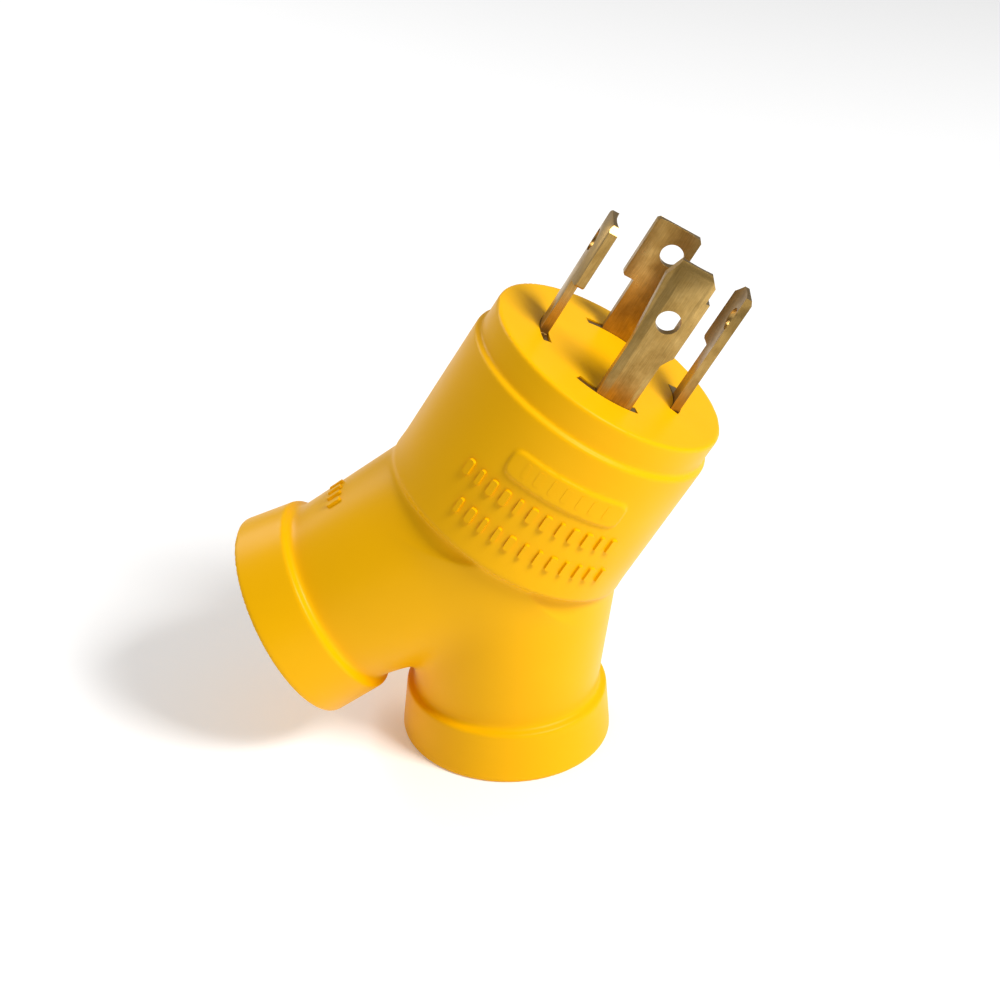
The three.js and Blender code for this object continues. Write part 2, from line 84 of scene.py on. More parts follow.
# %% The three ends
LEG_LENGTH = 46 * MM
HEAD_LENGTH = 34.5 * MM
INSERT_LEAN = math.radians(1)

plug_face = Vector(mounts["plug_face"]["pos_m"])
plug_axis = Vector(mounts["plug_face"]["axis"]).normalized()
leg_axes = {leg: Vector(mounts[f"outlet_{leg}_face"]["axis"]).normalized() for leg in "ab"}
junction = plug_face - plug_axis * HEAD_LENGTH
back = Vector((0, 1, 0))


def end_matrix(face, axis):
    """The frame of an end: +Z leaves the face, and +Y is the body's own +Y."""
    across = back.cross(axis)
    return Matrix.Translation(face) @ Matrix((across, back, axis)).transposed().to_4x4()


plug_frame = end_matrix(plug_face, plug_axis)
insert_frame = plug_frame @ Matrix.Rotation(-INSERT_LEAN, 4, "Y")
leg_frames = {leg: end_matrix(Vector(mounts[f"outlet_{leg}_face"]["pos_m"]), axis) for leg, axis in leg_axes.items()}
print("junction", tuple(round(value, 4) for value in junction))

# %% [markdown]
# ## Two small helpers
# One adds a node with its settings and links, in a material or in a geometry tree. One turns the sRGB hex colour
# that a paint chart gives into the linear colour that Blender mixes light in.


# %% Helpers for nodes and colour
def add_node(tree, kind, inputs=None, **settings):
    """Adds a node. inputs maps a socket's name or number to another socket or to a value."""
    node = tree.nodes.new(kind)
    for name, value in settings.items():
        setattr(node, name, value)
    for key, value in (inputs or {}).items():
        if isinstance(value, bpy.types.NodeSocket):
            tree.links.new(value, node.inputs[key])
        else:
            node.inputs[key].default_value = value
    return node


def linear(hex_colour):
    """An sRGB hex colour, such as "f2b300", as linear RGBA."""
    channels = [int(hex_colour[start:start + 2], 16) / 255 for start in (0, 2, 4)]
    return [c / 12.92 if c <= 0.04045 else ((c + 0.055) / 1.055) ** 2.4 for c in channels] + [1.0]


print("helpers ready", [round(value, 3) for value in linear("f2b300")])

# %% [markdown]
# ## Moulded PVC jacket
# Flexible PVC, bright yellow right through, moulded in a spark-eroded tool. To the eye that is a saturated colour,
# a soft satin gloss, a very fine grain that breaks up highlights, and faint cloudiness where the melt flowed.


# %% Materials for the plastics
def moulded_plastic(name, hex_colour, cloud_colour, roughness, grain_mm=0.35, grain_depth=0.02):
    """A moulded plastic: two close shades in slow clouds, an eroded grain and a slightly uneven gloss."""
    material = bpy.data.materials.new(name)
    material.use_nodes = True
    tree = material.node_tree
    shader = tree.nodes["Principled BSDF"]
    place = add_node(tree, "ShaderNodeTexCoord").outputs["Object"]
    clouds = add_node(tree, "ShaderNodeTexNoise", {"Vector": place, "Scale": 1 / (14 * MM), "Detail": 3.0})
    grain = add_node(tree, "ShaderNodeTexNoise", {"Vector": place, "Scale": 1 / (grain_mm * MM), "Detail": 2.0})
    colour = add_node(tree, "ShaderNodeMix", {
        "Factor": clouds.outputs["Fac"], 6: linear(hex_colour), 7: linear(cloud_colour)}, data_type="RGBA")
    gloss = add_node(tree, "ShaderNodeMapRange", {
        "Value": clouds.outputs["Fac"], "From Min": 0.3, "From Max": 0.7,
        "To Min": roughness - 0.04, "To Max": roughness + 0.05})
    bump = add_node(tree, "ShaderNodeBump", {
        "Height": grain.outputs["Fac"], "Strength": 0.25, "Distance": grain_depth * MM})
    tree.links.new(colour.outputs[2], shader.inputs["Base Color"])
    tree.links.new(gloss.outputs[0], shader.inputs["Roughness"])
    tree.links.new(bump.outputs[0], shader.inputs["Normal"])
    shader.inputs["IOR"].default_value = 1.5
    shader.inputs["Specular IOR Level"].default_value = 0.1
    return material


yellow_pvc = moulded_plastic("moulded_yellow_pvc", "f5b600", "efaf00", 0.36)
yellow_nylon = moulded_plastic("moulded_yellow_nylon", "e9a806", "e09f04", 0.5)
natural_nylon = moulded_plastic("natural_nylon", "e6e0cf", "dbd4c0", 0.48)
grey_pvc = moulded_plastic("grey_inner_pvc", "4b4b4e", "414144", 0.6)
wire_pvc = {
    "black": moulded_plastic("black_wire_pvc", "1d1d1f", "26262a", 0.42),
    "red": moulded_plastic("red_wire_pvc", "a3201b", "8f1a17", 0.42),
    "white": moulded_plastic("white_wire_pvc", "e4e2da", "d6d3c8", 0.45),
    "green": moulded_plastic("green_wire_pvc", "1e7a3b", "18692f", 0.42),
}
print("plastics", len(wire_pvc) + 4)

# %% [markdown]
# ## Rolled brass and stranded copper
# The blades are stamped from rolled cartridge brass. To the eye that is a warm metal with fine lines along the
# strip, where the rolls dragged, and brown and olive patches of tarnish that stay duller than the rest.


# %% Materials for the metals
def worked_metal(name, bright, tarnish, deep, roughness, line_mm=0.12, tarnish_mm=7.0, turn=None):
    """A bare worked metal: drawn lines along its length, and duller tarnish in patches."""
    material = bpy.data.materials.new(name)
    material.use_nodes = True
    tree = material.node_tree
    shader = tree.nodes["Principled BSDF"]
    place = add_node(tree, "ShaderNodeTexCoord").outputs["Object"]
    along = add_node(tree, "ShaderNodeMapping", {"Vector": place, "Rotation": turn or (0, 0, 0)})
    drawn = add_node(tree, "ShaderNodeMapping", {"Vector": along.outputs[0], "Scale": (1, 1, 0.05)})
    lines = add_node(tree, "ShaderNodeTexNoise", {
        "Vector": drawn.outputs[0], "Scale": 1 / (line_mm * MM), "Detail": 3.0})
    patches = add_node(tree, "ShaderNodeTexNoise", {
        "Vector": place, "Scale": 1 / (tarnish_mm * MM), "Detail": 5.0, "Roughness": 0.62})
    ramp = add_node(tree, "ShaderNodeValToRGB", {"Fac": patches.outputs["Fac"]})
    ramp.color_ramp.elements[0].position = 0.32
    ramp.color_ramp.elements[0].color = linear(deep)
    ramp.color_ramp.elements[1].position = 0.62
    ramp.color_ramp.elements[1].color = linear(bright)
    ramp.color_ramp.elements.new(0.47).color = linear(tarnish)
    streaks = add_node(tree, "ShaderNodeMapRange", {
        "Value": lines.outputs["Fac"], "From Min": 0.3, "From Max": 0.7, "To Min": 0.8, "To Max": 1.12})
    tint = add_node(tree, "ShaderNodeVectorMath", {
        0: ramp.outputs[0], "Scale": streaks.outputs[0]}, operation="SCALE")
    dull = add_node(tree, "ShaderNodeMapRange", {
        "Value": patches.outputs["Fac"], "From Min": 0.35, "From Max": 0.65,
        "To Min": roughness + 0.12, "To Max": roughness})
    bump = add_node(tree, "ShaderNodeBump", {
        "Height": lines.outputs["Fac"], "Strength": 0.3, "Distance": 0.02 * MM})
    tree.links.new(tint.outputs[0], shader.inputs["Base Color"])
    tree.links.new(dull.outputs[0], shader.inputs["Roughness"])
    tree.links.new(bump.outputs[0], shader.inputs["Normal"])
    shader.inputs["Metallic"].default_value = 1.0
    return material


insert_turn = insert_frame.to_3x3().inverted().to_euler()
blade_brass = worked_metal("rolled_blade_brass", "b8975a", "a9884c", "94743c", 0.27, turn=tuple(insert_turn))
contact_brass = worked_metal("stamped_contact_brass", "d8b468", "bd9850", "94743a", 0.28)
wire_copper = worked_metal("stranded_copper", "d98b62", "c07850", "8e5338", 0.3, line_mm=0.25)
print("metals", blade_brass.name, contact_brass.name, wire_copper.name)

# %% [markdown]
# ## The jacket's shape
# The real mould is turned and blended: round sections with small edge radii, run into each other with fillets.
# A subdivision cage could hold that, but three tapered tubes that meet at 60 degrees are awkward to model by hand.
# Here each section is a distance, and a smooth minimum blends the sections just as a ball-ended cutter would.
# Geometry Nodes fill a volume with that distance and skin it. Three steps along the normal then settle every
# point on the true surface, so the mesh is finer than its voxels.

# %% Sizes of the jacket
VOXEL = 0.44 * MM
JACKET_SIZES = {
    "Head Length": HEAD_LENGTH,
    "Head Radius": 23.4 * MM,
    "Ring Radius": 22.5 * MM,
    "Ring Height": 5.9 * MM,
    "Leg Length": LEG_LENGTH,
    "Leg Root Radius": 21.4 * MM,
    "Leg Neck Radius": 17 * MM,
    "Cap Height": 10 * MM,
    "Cap Top Radius": 18.7 * MM,
    "Cap Radius": 19.6 * MM,
    "Edge Softness": 1.0 * MM,
    "Crotch Softness": 4.2 * MM,
    "Plaque Width": 22.5 * MM,
    "Plaque Height": 5.2 * MM,
    "Plaque Rise": 0.45 * MM,
}
PLAQUE_ALONG = 19.6 * MM
PLAQUE_CORNER = 3 * MM
PLAQUE_DRAFT = 0.25 * MM
CAP_FILLET = 2.6 * MM
HEAD_FILLET = 2.4 * MM
print("voxel", VOXEL, "sizes", len(JACKET_SIZES))


# %% The distance to one round section
def section_distance(tree, along, across, ends, radii, softness):
    """Distance to a straight or tapered round section between two heights, with softened edges."""
    radius = add_node(tree, "ShaderNodeMapRange", {
        "Value": along, "From Min": ends[0], "From Max": ends[1],
        "To Min": radii[0], "To Max": radii[1]}, clamp=False)
    side = add_node(tree, "ShaderNodeMath", {0: across, 1: radius.outputs[0]}, operation="SUBTRACT")
    top = add_node(tree, "ShaderNodeMath", {0: along, 1: ends[1]}, operation="SUBTRACT")
    bottom = add_node(tree, "ShaderNodeMath", {0: ends[0], 1: along}, operation="SUBTRACT")
    faces = add_node(tree, "ShaderNodeMath", {0: top.outputs[0], 1: bottom.outputs[0]}, operation="MAXIMUM")
    whole = add_node(tree, "ShaderNodeMath", {
        0: side.outputs[0], 1: faces.outputs[0], 2: softness}, operation="SMOOTH_MAX")
    return whole.outputs[0]


def along_and_across(tree, place, axis):
    """How far a place lies along an axis through the junction, and how far from it."""
    along = add_node(tree, "ShaderNodeVectorMath", {0: place, 1: axis}, operation="DOT_PRODUCT").outputs["Value"]
    foot = add_node(tree, "ShaderNodeVectorMath", {0: axis, "Scale": along}, operation="SCALE").outputs[0]
    rest = add_node(tree, "ShaderNodeVectorMath", {0: place, 1: foot}, operation="SUBTRACT").outputs[0]
    return along, add_node(tree, "ShaderNodeVectorMath", {0: rest}, operation="LENGTH").outputs["Value"]


print("section distance ready")


# %% [markdown]
# ## The plaque on the head
# The tool has a shallow sunk panel where a maker would put a mark, which leaves a raised plaque on the part. It is
# only a third of a millimetre high, so it is a local rise of the head's radius: a soft step in arc and height.


# %% The plaque's rise
def plaque_rise(tree, place, along, sizes):
    """How much the head's radius grows at a place, because of the plaque facing the front."""
    sideways = back.cross(plug_axis)
    u = add_node(tree, "ShaderNodeVectorMath", {0: place, 1: sideways}, operation="DOT_PRODUCT").outputs["Value"]
    v = add_node(tree, "ShaderNodeVectorMath", {0: place, 1: -back}, operation="DOT_PRODUCT").outputs["Value"]
    angle = add_node(tree, "ShaderNodeMath", {0: u, 1: v}, operation="ARCTAN2").outputs[0]
    arc = add_node(tree, "ShaderNodeMath", {0: angle, 1: sizes["Head Radius"]}, operation="MULTIPLY").outputs[0]
    height = add_node(tree, "ShaderNodeMath", {0: along, 1: PLAQUE_ALONG}, operation="SUBTRACT").outputs[0]
    beyond = []
    for distance, size in ((arc, sizes["Plaque Width"]), (height, sizes["Plaque Height"])):
        size_half = add_node(tree, "ShaderNodeMath", {0: size, 1: 0.5}, operation="MULTIPLY").outputs[0]
        reach = add_node(tree, "ShaderNodeMath", {0: distance}, operation="ABSOLUTE").outputs[0]
        beyond.append(add_node(tree, "ShaderNodeMath", {0: reach, 1: size_half}, operation="SUBTRACT").outputs[0])
    edge = add_node(tree, "ShaderNodeMath", {
        0: beyond[0], 1: beyond[1], 2: PLAQUE_CORNER}, operation="SMOOTH_MAX").outputs[0]
    rise = add_node(tree, "ShaderNodeMapRange", {
        "Value": edge, "From Min": PLAQUE_DRAFT, "From Max": -PLAQUE_DRAFT,
        "To Min": 0.0, "To Max": sizes["Plaque Rise"]},
        interpolation_type="SMOOTHSTEP")
    return rise.outputs[0]


print("plaque ready")


# %% The whole jacket's distance
def jacket_distance(tree, sizes):
    """Distance from any place to the jacket's outside, negative inside it."""
    position = add_node(tree, "GeometryNodeInputPosition").outputs[0]
    place = add_node(tree, "ShaderNodeVectorMath", {0: position, 1: junction}, operation="SUBTRACT").outputs[0]
    soft = sizes["Edge Softness"]

    along, across = along_and_across(tree, place, plug_axis)
    rise = plaque_rise(tree, place, along, sizes)
    skin = add_node(tree, "ShaderNodeMath", {0: across, 1: rise}, operation="SUBTRACT").outputs[0]
    ring_foot = add_node(tree, "ShaderNodeMath", {
        0: sizes["Head Length"], 1: sizes["Ring Height"]}, operation="SUBTRACT").outputs[0]
    head = section_distance(tree, along, skin, (0.0, ring_foot), [sizes["Head Radius"]] * 2, soft)
    ring = section_distance(tree, along, across, (0.0, sizes["Head Length"]), [sizes["Ring Radius"]] * 2, soft)
    head = add_node(tree, "ShaderNodeMath", {0: head, 1: ring, 2: soft}, operation="SMOOTH_MIN").outputs[0]

    cap_foot = add_node(tree, "ShaderNodeMath", {
        0: sizes["Leg Length"], 1: sizes["Cap Height"]}, operation="SUBTRACT").outputs[0]
    legs = []
    for axis in leg_axes.values():
        along, across = along_and_across(tree, place, axis)
        taper = (sizes["Leg Root Radius"], sizes["Leg Neck Radius"])
        leg = section_distance(tree, along, across, (-1 * MM, cap_foot), taper, soft)
        flare = (sizes["Cap Top Radius"], sizes["Cap Radius"])
        cap = section_distance(tree, along, across, (cap_foot, sizes["Leg Length"]), flare, soft)
        joined = add_node(tree, "ShaderNodeMath", {0: leg, 1: cap, 2: CAP_FILLET}, operation="SMOOTH_MIN")
        legs.append(joined.outputs[0])
    fork = add_node(tree, "ShaderNodeMath", {
        0: legs[0], 1: legs[1], 2: sizes["Crotch Softness"]}, operation="SMOOTH_MIN").outputs[0]
    body = add_node(tree, "ShaderNodeMath", {0: head, 1: fork, 2: HEAD_FILLET}, operation="SMOOTH_MIN")
    return body.outputs[0]


print("jacket distance ready")


# %% [markdown]
# ## Skinning the rule
# The tree's inputs are the driving sizes, so another adapter of this family is a change of numbers. The volume
# spans the CAD jacket's box with a margin, and its resolution follows from the voxel size.


# %% Build the jacket's tree
def jacket_tree(low, high, voxel, finish):
    """A geometry tree that skins the jacket's distance inside a box."""
    tree = bpy.data.node_groups.new("moulded_jacket", "GeometryNodeTree")
    tree.interface.new_socket("Geometry", in_out="OUTPUT", socket_type="NodeSocketGeometry")
    for name, value in JACKET_SIZES.items():
        tree.interface.new_socket(name, in_out="INPUT", socket_type="NodeSocketFloat").default_value = value
    sizes = {socket.name: socket for socket in add_node(tree, "NodeGroupInput").outputs if socket.name}
    distance = jacket_distance(tree, sizes)
    # Density falls through 1 at the surface, and stays near 1 around it so that the skin is placed well.
    density = add_node(tree, "ShaderNodeMapRange", {
        "Value": distance, "From Min": 0.0, "From Max": 4 * MM, "To Min": 1.0, "To Max": 0.0}, clamp=False)
    steps = [math.ceil((high[axis] - low[axis]) / voxel) for axis in range(3)]
    volume = add_node(tree, "GeometryNodeVolumeCube", {
        "Density": density.outputs[0], "Min": low, "Max": high,
        "Resolution X": steps[0], "Resolution Y": steps[1], "Resolution Z": steps[2]})
    skin = add_node(tree, "GeometryNodeVolumeToMesh", {"Volume": volume.outputs[0], "Threshold": 1.0})
    geometry = skin.outputs[0]
    normal = add_node(tree, "GeometryNodeInputNormal").outputs[0]
    inwards = add_node(tree, "ShaderNodeMath", {0: distance, 1: -1.0}, operation="MULTIPLY").outputs[0]
    for _ in range(3):
        step = add_node(tree, "ShaderNodeVectorMath", {0: normal, "Scale": inwards}, operation="SCALE").outputs[0]
        geometry = add_node(tree, "GeometryNodeSetPosition", {"Geometry": geometry, "Offset": step}).outputs[0]
    smooth = add_node(tree, "GeometryNodeSetShadeSmooth", {"Geometry": geometry})
    real = add_node(tree, "GeometryNodeRealizeInstances", {"Geometry": smooth.outputs[0]})
    painted = add_node(tree, "GeometryNodeSetMaterial", {"Geometry": real.outputs[0], "Material": finish})
    add_node(tree, "NodeGroupOutput", {0: painted.outputs[0]})
    return tree


def made_by_tree(name, tree, values=None, base=None):
    """Runs a geometry tree once and returns its result as a plain mesh object at the origin."""
    carrier = bpy.data.objects.new(name + "_carrier", base or bpy.data.meshes.new(name + "_carrier"))
    bpy.context.scene.collection.objects.link(carrier)
    modifier = carrier.modifiers.new("tree", "NODES")
    modifier.node_group = tree
    sockets = {item.name: item.identifier for item in tree.interface.items_tree if item.in_out == "INPUT"}
    for label, value in (values or {}).items():
        modifier[sockets[label]] = value
    evaluated = carrier.evaluated_get(bpy.context.evaluated_depsgraph_get())
    mesh = bpy.data.meshes.new_from_object(evaluated)
    carrier.modifiers.remove(modifier)
    bpy.data.objects.remove(carrier)
    piece = bpy.data.objects.new(name, mesh)
    bpy.context.scene.collection.objects.link(piece)
    return piece


jacket_low, jacket_high = [Vector(corner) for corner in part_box("overmould_jacket")]
margin = Vector((1, 1, 1)) * 2 * MM
tree = jacket_tree(tuple(jacket_low - margin), tuple(jacket_high + margin), VOXEL, yellow_pvc)
jacket = made_by_tree("jacket", tree, JACKET_SIZES)
print("jacket", len(jacket.data.vertices), "points", len(jacket.data.polygons), "faces")

# %% [markdown]
# ## Cutting prisms
# Slots, holes and pockets are cut as a toolmaker would, with a solid of the right outline pushed through. Outlines
# are lists of points in the end's own frame, with arcs worked out by a small loop.


# %% Outlines and prisms
def arc_points(centre, radius, start, stop, steps):
    """Points on an arc, angles in degrees."""
    angles = [math.radians(start + (stop - start) * step / steps) for step in range(steps + 1)]
    return [(centre[0] + radius * math.cos(angle), centre[1] + radius * math.sin(angle)) for angle in angles]


def prism(name, outline, bottom, top, placement):
    """A closed prism over an outline, in millimetres, placed by a matrix."""
    shape = bmesh.new()
    rims = [[shape.verts.new((x * MM, y * MM, z * MM)) for x, y in outline] for z in (bottom, top)]
    shape.faces.new(reversed(rims[0]))
    shape.faces.new(rims[1])
    for index in range(len(outline)):
        after = (index + 1) % len(outline)
        shape.faces.new((rims[0][index], rims[0][after], rims[1][after], rims[1][index]))
    bmesh.ops.recalc_face_normals(shape, faces=shape.faces)
    mesh = bpy.data.meshes.new(name)
    shape.to_mesh(mesh)
    shape.free()
    mesh.transform(placement)
    piece = bpy.data.objects.new(name, mesh)
    bpy.context.scene.collection.objects.link(piece)
    return piece


def boolean(piece, tools, operation="DIFFERENCE"):
    """Cuts or joins a piece with tools, and clears the tools away."""
    for tool in tools:
        modifier = piece.modifiers.new("cut", "BOOLEAN")
        modifier.object = tool
        modifier.operation = operation
        modifier.solver = "EXACT"
    mesh = bpy.data.meshes.new_from_object(piece.evaluated_get(bpy.context.evaluated_depsgraph_get()))
    piece.modifiers.clear()
    piece.data = mesh
    for tool in tools:
        bpy.data.objects.remove(tool)
    return piece


print("prisms ready")

# %% [markdown]
# ## Slots in the plug's face, pockets in the caps
# The melt closes round the blades except for a small relief at each foot, where the tool held the metal. The
# relief is a curved slot a little longer than the stem. Each cap is open, and the outlet's nylon sits in it.

# %% Cut the jacket
PITCH_RADIUS = 13.5
BLADE_THICKNESS = 1.5
SLOT_REACHES = {"hot_x": (-5.1, 4.8), "neutral": (-5.1, 4.8), "ground": (-7.0, 4.8), "hot_y": (-5.1, 4.8)}
OUTLET_RADIUS = 14.2
OUTLET_DEPTH = 16.5
CUT_CLEARANCE = 0.12
SLOT_FLOOR = -4.3
CUT_ABOVE = 1.5
BLADE_TURNS = {"hot_x": 180, "neutral": 90, "ground": 270, "hot_y": 0}


def ring_sector(inner, outer, start, stop, steps=12):
    """The outline of a piece of a ring between two angles in degrees."""
    return arc_points((0, 0), outer, start, stop, steps) + arc_points((0, 0), inner, stop, start, steps)


cutters = []
reach = BLADE_THICKNESS / 2 + CUT_CLEARANCE
for name, turn in BLADE_TURNS.items():
    ends = [math.degrees(end / PITCH_RADIUS) for end in SLOT_REACHES[name]]
    slot_outline = ring_sector(PITCH_RADIUS - reach, PITCH_RADIUS + reach, *ends)
    placement = insert_frame @ Matrix.Rotation(math.radians(turn), 4, "Z")
    cutters.append(prism(name + "_slot", slot_outline, SLOT_FLOOR, CUT_ABOVE, placement))
pocket_outline = arc_points((0, 0), OUTLET_RADIUS + CUT_CLEARANCE, 0, 360, 96)[:-1]
for leg, placement in leg_frames.items():
    cutters.append(prism(f"pocket_{leg}", pocket_outline, -OUTLET_DEPTH, CUT_ABOVE, placement))
boolean(jacket, cutters)
for polygon in jacket.data.polygons:
    polygon.use_smooth = True
jacket.data.materials.clear()
jacket.data.materials.append(yellow_pvc)
jacket.data.set_sharp_from_angle(angle=math.radians(40))
print("jacket after cuts", len(jacket.data.polygons), "faces")

# %% [markdown]
# ## Stamped and rolled blades
# Each blade is a flat blank, punched with its hole and notched for its hook, then rolled to the pitch circle. So
# the piece is made the same way: a curved strip, trimmed by the blank's outline, with its hole cut through and its
# edges broken by a small bevel. The tip is coined to a thinner edge so that it finds its slot.

# %% Sizes of the blades
EAR_TOP = -0.15
EAR_BOTTOM = SLOT_FLOOR
NECK_HALF = 3.4
BLADE_ROOT = -16.0
HOLE_RADIUS = 2.1
TIP_COIN = 1.8
POWER_BLANK = dict(height=23.1, stem=(-4.8, 1.6), reach=4.0, hook=(10.7, 11.1), tip_reach=4.0, lean=0.0,
                   ears=(-4.8, 4.5), hole=(-1.2, 17.9))
BLANKS = {
    "hot_x": dict(POWER_BLANK, corners=((1.0, 1.1), (1.0, 1.4))),
    "neutral": dict(POWER_BLANK, corners=((0.4, 0.5), (0.4, 0.5)), hole=(-1.8, 17.9)),
    "hot_y": dict(POWER_BLANK, corners=((2.0, 2.2), (1.6, 3.0))),
    "ground": dict(height=27.2, stem=(-3.2, 3.4), reach=4.75, hook=(9.5, 11.2), tip_reach=3.95, lean=1.1,
                   ears=(-6.7, 4.5), corners=((1.5, 1.7), (1.1, 3.4)), hole=(0.35, 16.9)),
}
NOTCH_BELOW_TIP = 4.7
print("blade heights", {name: blank["height"] for name, blank in BLANKS.items()})


# %% One blade
def blade_outline(blank):
    """The blank, drawn as (across, along) in millimetres, with the hook on the positive side."""
    left, right = blank["stem"]
    height, reach, tip_reach, (hook_in, hook_out) = (blank[key] for key in ("height", "reach", "tip_reach", "hook"))
    (hook_width, hook_height), (other_width, other_height) = blank["corners"]
    tip_left = left - blank["lean"]
    return [
        (-NECK_HALF, BLADE_ROOT), (NECK_HALF, BLADE_ROOT),
        (NECK_HALF, EAR_BOTTOM), (blank["ears"][1], EAR_BOTTOM), (blank["ears"][1], EAR_TOP), (right, EAR_TOP),
        (right, hook_in), (reach - 0.4, hook_out - 0.25), (reach, hook_out + 0.15),
        (reach, height - NOTCH_BELOW_TIP), (tip_reach, height - NOTCH_BELOW_TIP + 0.05),
        (tip_reach, height - hook_height), (tip_reach - hook_width, height),
        (tip_left + other_width, height), (tip_left, height - other_height), (left, hook_out), (left, EAR_TOP),
        (blank["ears"][0], EAR_TOP), (blank["ears"][0], EAR_BOTTOM), (-NECK_HALF, EAR_BOTTOM),
    ]


def make_blade(name, turn, blank):
    """A rolled, trimmed and punched blade in the row frame."""
    placement = insert_frame @ Matrix.Rotation(math.radians(turn), 4, "Z")
    # Maps an outline drawn as (across, along) to a prism that runs outwards from the plug's axis.
    outwards = placement @ Matrix(((0, 0, 1, 0), (1, 0, 0, 0), (0, 1, 0, 0), (0, 0, 0, 1)))
    inner = PITCH_RADIUS - BLADE_THICKNESS / 2
    outer = PITCH_RADIUS + BLADE_THICKNESS / 2
    height = blank["height"]
    blade = prism(name, ring_sector(inner, outer, -36, 36, 48), BLADE_ROOT - 1, height + 1, placement)
    outline = prism("outline", blade_outline(blank), inner - 4, outer + 4, outwards)
    boolean(blade, [outline], "INTERSECT")
    hole = arc_points(blank["hole"], HOLE_RADIUS, 0, 360, 40)[:-1]
    tools = [prism("hole", hole, inner - 4, outer + 4, outwards)]
    # The coining is a shallow wedge off the outer face, drawn as (outwards, along) and run across the blade.
    sideways = placement @ Matrix(((1, 0, 0, 0), (0, 0, -1, 0), (0, 1, 0, 0), (0, 0, 0, 1)))
    wedge = [(outer + 0.1, height - TIP_COIN), (outer + 3, height - TIP_COIN), (outer + 3, height + 2),
             (outer - 0.8, height + 2), (outer - 0.8, height)]
    tools.append(prism("coin", wedge, -9, 9, sideways))
    boolean(blade, tools)
    if blank["tip_reach"] < blank["reach"]:
        edge = (blank["reach"] - 1.5, blank["reach"])
        flange = [(outer - 5.6, edge[0]), (outer - 1.4, edge[0]), (outer - 1.4, edge[1]), (outer - 5.6, edge[1])]
        flange_top = height - NOTCH_BELOW_TIP - 0.05
        boolean(blade, [prism("flange", flange, blank["hook"][1] + 0.2, flange_top, placement)], "UNION")
    blade.data.materials.clear()
    blade.data.materials.append(blade_brass)
    bevel = blade.modifiers.new("broken_edges", "BEVEL")
    bevel.width = 0.16 * MM
    bevel.segments = 2
    bevel.limit_method = "ANGLE"
    bevel.angle_limit = math.radians(40)
    bevel.harden_normals = True
    for polygon in blade.data.polygons:
        polygon.use_smooth = True
    return blade


blades = {}
for name, turn in BLADE_TURNS.items():
    blades[name] = make_blade(name + "_blade_brass", turn, BLANKS[name])
print("blades", {name: len(piece.data.polygons) for name, piece in blades.items()})

# %% [markdown]
# ## Outlet faces
# Nylon, moulded in the jacket's colour, with two blade slots and a ground opening. The long slot is the neutral's.
# Small lead-in chamfers round the openings guide a plug, so each opening is cut and then its edges are bevelled.

# %% Sizes of an outlet
SLOT_SPREAD = 6.35
SLOT_CENTRE = 4.4
SLOT_WIDTH = 2.1
SLOT_LENGTHS = {1: 7.2, -1: 8.6}
GROUND_CENTRE = -7.5
GROUND_RADIUS = 2.7
CHAMBER = (5.2, 10.2)
FRONT_WALL = 2.4


# %% One outlet carrier
def rectangle(width, length, x, y):
    """Corners of a rectangle about (x, y)."""
    return [(x + sx * width / 2, y + sy * length / 2) for sx, sy in ((-1, -1), (1, -1), (1, 1), (-1, 1))]


def make_outlet(leg, placement):
    """The nylon body of an outlet, open at the back for its contacts."""
    rim = arc_points((0, 0), OUTLET_RADIUS, 0, 360, 96)[:-1]
    body = prism(f"outlet_{leg}_face", rim, -OUTLET_DEPTH, 0, placement)
    ground = arc_points((0, GROUND_CENTRE), GROUND_RADIUS, 180, 360, 20)
    ground += [(GROUND_RADIUS, GROUND_CENTRE + 2), (-GROUND_RADIUS, GROUND_CENTRE + 2)]
    tools = [prism("ground", ground, -FRONT_WALL - 1, 1, placement)]
    chamber = arc_points((0, GROUND_CENTRE), 4, 0, 360, 32)[:-1]
    tools.append(prism("ground_chamber", chamber, -OUTLET_DEPTH - 1, -FRONT_WALL, placement))
    for side, length in SLOT_LENGTHS.items():
        slot = rectangle(SLOT_WIDTH, length, side * SLOT_SPREAD, SLOT_CENTRE)
        tools.append(prism("slot", slot, -FRONT_WALL - 1, 1, placement))
        room = rectangle(*CHAMBER, side * SLOT_SPREAD, SLOT_CENTRE)
        tools.append(prism("chamber", room, -OUTLET_DEPTH - 1, -FRONT_WALL, placement))
    boolean(body, tools)
    body.data.materials.clear()
    body.data.materials.append(yellow_nylon)
    bevel = body.modifiers.new("lead_in", "BEVEL")
    bevel.width = 0.3 * MM
    bevel.segments = 2
    bevel.limit_method = "ANGLE"
    bevel.angle_limit = math.radians(50)
    return body


outlets = {leg: make_outlet(leg, placement) for leg, placement in leg_frames.items()}
print("outlets", {leg: len(piece.data.polygons) for leg, piece in outlets.items()})

# %% [markdown]
# ## Raised bars
# Below the plaque, and on top of leg A, the tool leaves rows of short raised bars. They repeat and follow the
# round surface, so Geometry Nodes make them: one bar from a filleted outline, a copy at every place in a row, and
# one wrap of the flat rows round the section's axis.

# %% The bars' places
BAR_RISE = 0.5
BAR_SINK = 0.5
BAR_CORNER = 0.36
BAR_DRAFT = 0.86


def bar_row(count, pitch, centre, along, widths):
    """The bars of a row as (arc, along, width): millimetres, and a factor from a repeating pattern."""
    start = centre - pitch * (count - 1) / 2
    return [(start + pitch * index, along, widths[index % len(widths)]) for index in range(count)]


